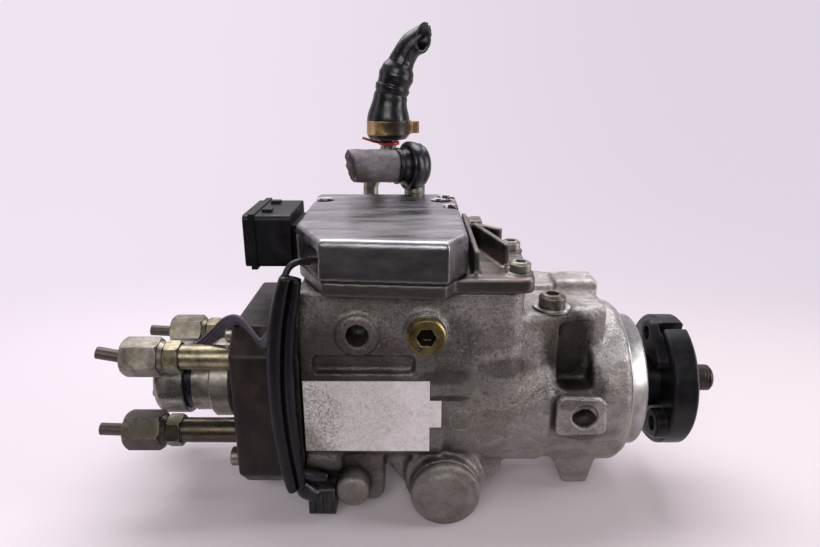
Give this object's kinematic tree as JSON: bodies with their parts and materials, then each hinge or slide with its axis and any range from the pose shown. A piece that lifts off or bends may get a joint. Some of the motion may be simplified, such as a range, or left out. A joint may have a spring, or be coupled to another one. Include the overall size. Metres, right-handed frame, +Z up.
{
  "type": "diesel injection pump",
  "caption": "Distributor-type diesel injection pump with a control unit on top, a drive hub, delivery outlets, a timing device and fuel hoses.",
  "frame": {"origin": "shaft axis at the face of the mounting flange", "axes": "+X along the drive shaft towards the hub, +Z up towards the control unit"},
  "size_m": [0.3125, 0.1481, 0.2425],
  "materials": {
    "cast_aluminium": "sand cast, grimy",
    "machined_aluminium": "turned",
    "black_steel": "blackened",
    "brown_steel": "oxidised",
    "zinc_steel": "grey zinc plated",
    "yellow_zinc": "yellow passivated zinc",
    "ground_steel": "ground",
    "cast_cover": "die cast",
    "black_plastic": "moulded",
    "violet_cable": "satin",
    "black_rubber": "satin",
    "grey_rubber": "worn",
    "bearing_bronze": "turned",
    "copper_winding": "lacquered",
    "green_board": "lacquered",
    "plate_metal": "brushed sheet"
  },
  "bodies": {
    "pump": {"base_screws": "zinc_steel", "cable_sheath": "black_plastic", "cover_screws": "zinc_steel", "delivery_holders": "zinc_steel", "distributor_head": "brown_steel", "distributor_sleeve": "ground_steel", "ecu_base_plate": "cast_cover", "ecu_board": "green_board", "ecu_connector": "black_plastic", "ecu_cover": "cast_cover", "ecu_gasket": "black_rubber", "front_bearing": "bearing_bronze", "head_screws": "zinc_steel", "hose_clamps": "yellow_zinc", "injection_pipes": "zinc_steel", "lock_bolt": "yellow_zinc", "plug_screw": "yellow_zinc", "port_plate": "ground_steel", "pump_housing": "cast_aluminium", "return_hose": "black_rubber", "return_pipe": "zinc_steel", "ribbon_cable": "violet_cable", "sealing_washers": "machined_aluminium", "sensor_lead": "black_plastic", "shaft_seal": "black_rubber", "solenoid_cap": "zinc_steel", "solenoid_coil": "copper_winding", "solenoid_seal": "black_rubber", "solenoid_valve_body": "zinc_steel", "supply_hose": "grey_rubber", "supply_pipe": "zinc_steel", "timing_connector": "black_plastic", "timing_covers": "machined_aluminium", "timing_spring": "ground_steel", "timing_valve": "machined_aluminium", "type_plate": "plate_metal", "union_nuts": "zinc_steel", "vane_ring": "ground_steel"},
    "drive": {"drive_shaft": "ground_steel", "hub_key": "ground_steel", "drive_hub": "black_steel", "vane_rotor": "ground_steel", "vanes": "ground_steel", "sensor_wheel": "ground_steel", "distributor_rotor": "ground_steel"},
    "plunger_unit_1": {"plunger_1": "ground_steel", "roller_shoe_1": "ground_steel"},
    "plunger_unit_2": {"plunger_2": "ground_steel", "roller_shoe_2": "ground_steel"},
    "roller_unit_1": {"roller_1": "ground_steel"},
    "roller_unit_2": {"roller_2": "ground_steel"},
    "cam": {"cam_ring": "ground_steel", "cam_pin": "ground_steel", "angle_sensor": "black_plastic"},
    "timing": {"timing_piston": "ground_steel"},
    "needle": {"valve_needle": "ground_steel"},
    "valve_1": {"delivery_valve_1": "ground_steel"},
    "valve_2": {"delivery_valve_2": "ground_steel"},
    "valve_3": {"delivery_valve_3": "ground_steel"},
    "valve_4": {"delivery_valve_4": "ground_steel"}
  },
  "joints": [
    {"name": "drive_turn", "type": "hinge", "parent": "pump", "child": "drive", "pos_m": [0, 0, 0], "axis": [1, 0, 0], "continuous": true},
    {"name": "plunger_1_slide", "type": "slide", "parent": "drive", "child": "plunger_unit_1", "axis": [0, 1, 0], "range_m": [0, 0.0028]},
    {"name": "plunger_2_slide", "type": "slide", "parent": "drive", "child": "plunger_unit_2", "axis": [0, -1, 0], "range_m": [0, 0.0028]},
    {"name": "roller_1_spin", "type": "hinge", "parent": "plunger_unit_1", "child": "roller_unit_1", "pos_m": [-0.089, 0.0164, 0], "axis": [1, 0, 0], "continuous": true},
    {"name": "roller_2_spin", "type": "hinge", "parent": "plunger_unit_2", "child": "roller_unit_2", "pos_m": [-0.089, -0.0164, 0], "axis": [1, 0, 0], "continuous": true},
    {"name": "cam_ring_turn", "type": "hinge", "parent": "pump", "child": "cam", "pos_m": [-0.089, 0, 0], "axis": [1, 0, 0], "range_deg": [-8, 8]},
    {"name": "timing_piston_slide", "type": "slide", "parent": "pump", "child": "timing", "axis": [0, 1, 0], "range_m": [-0.00557, 0.00557], "deforming": ["timing_spring"]},
    {"name": "metering_needle_slide", "type": "slide", "parent": "pump", "child": "needle", "axis": [-1, 0, 0], "range_m": [0, 0.0003], "stiffness_N_per_m": 4000},
    {"name": "delivery_valve_1_lift", "type": "slide", "parent": "pump", "child": "valve_1", "axis": [-1, 0, 0], "range_m": [0, 0.0012], "stiffness_N_per_m": 1500},
    {"name": "delivery_valve_2_lift", "type": "slide", "parent": "pump", "child": "valve_2", "axis": [-1, 0, 0], "range_m": [0, 0.0012], "stiffness_N_per_m": 1500},
    {"name": "delivery_valve_3_lift", "type": "slide", "parent": "pump", "child": "valve_3", "axis": [-1, 0, 0], "range_m": [0, 0.0012], "stiffness_N_per_m": 1500},
    {"name": "delivery_valve_4_lift", "type": "slide", "parent": "pump", "child": "valve_4", "axis": [-1, 0, 0], "range_m": [0, 0.0012], "stiffness_N_per_m": 1500}
  ],
  "couplings": [
    {"joint": "plunger_2_slide", "follows": "plunger_1_slide", "ratio": 1},
    {"joint": "timing_piston_slide", "follows": "cam_ring_turn", "m_per_rad": 0.0398}
  ]
}
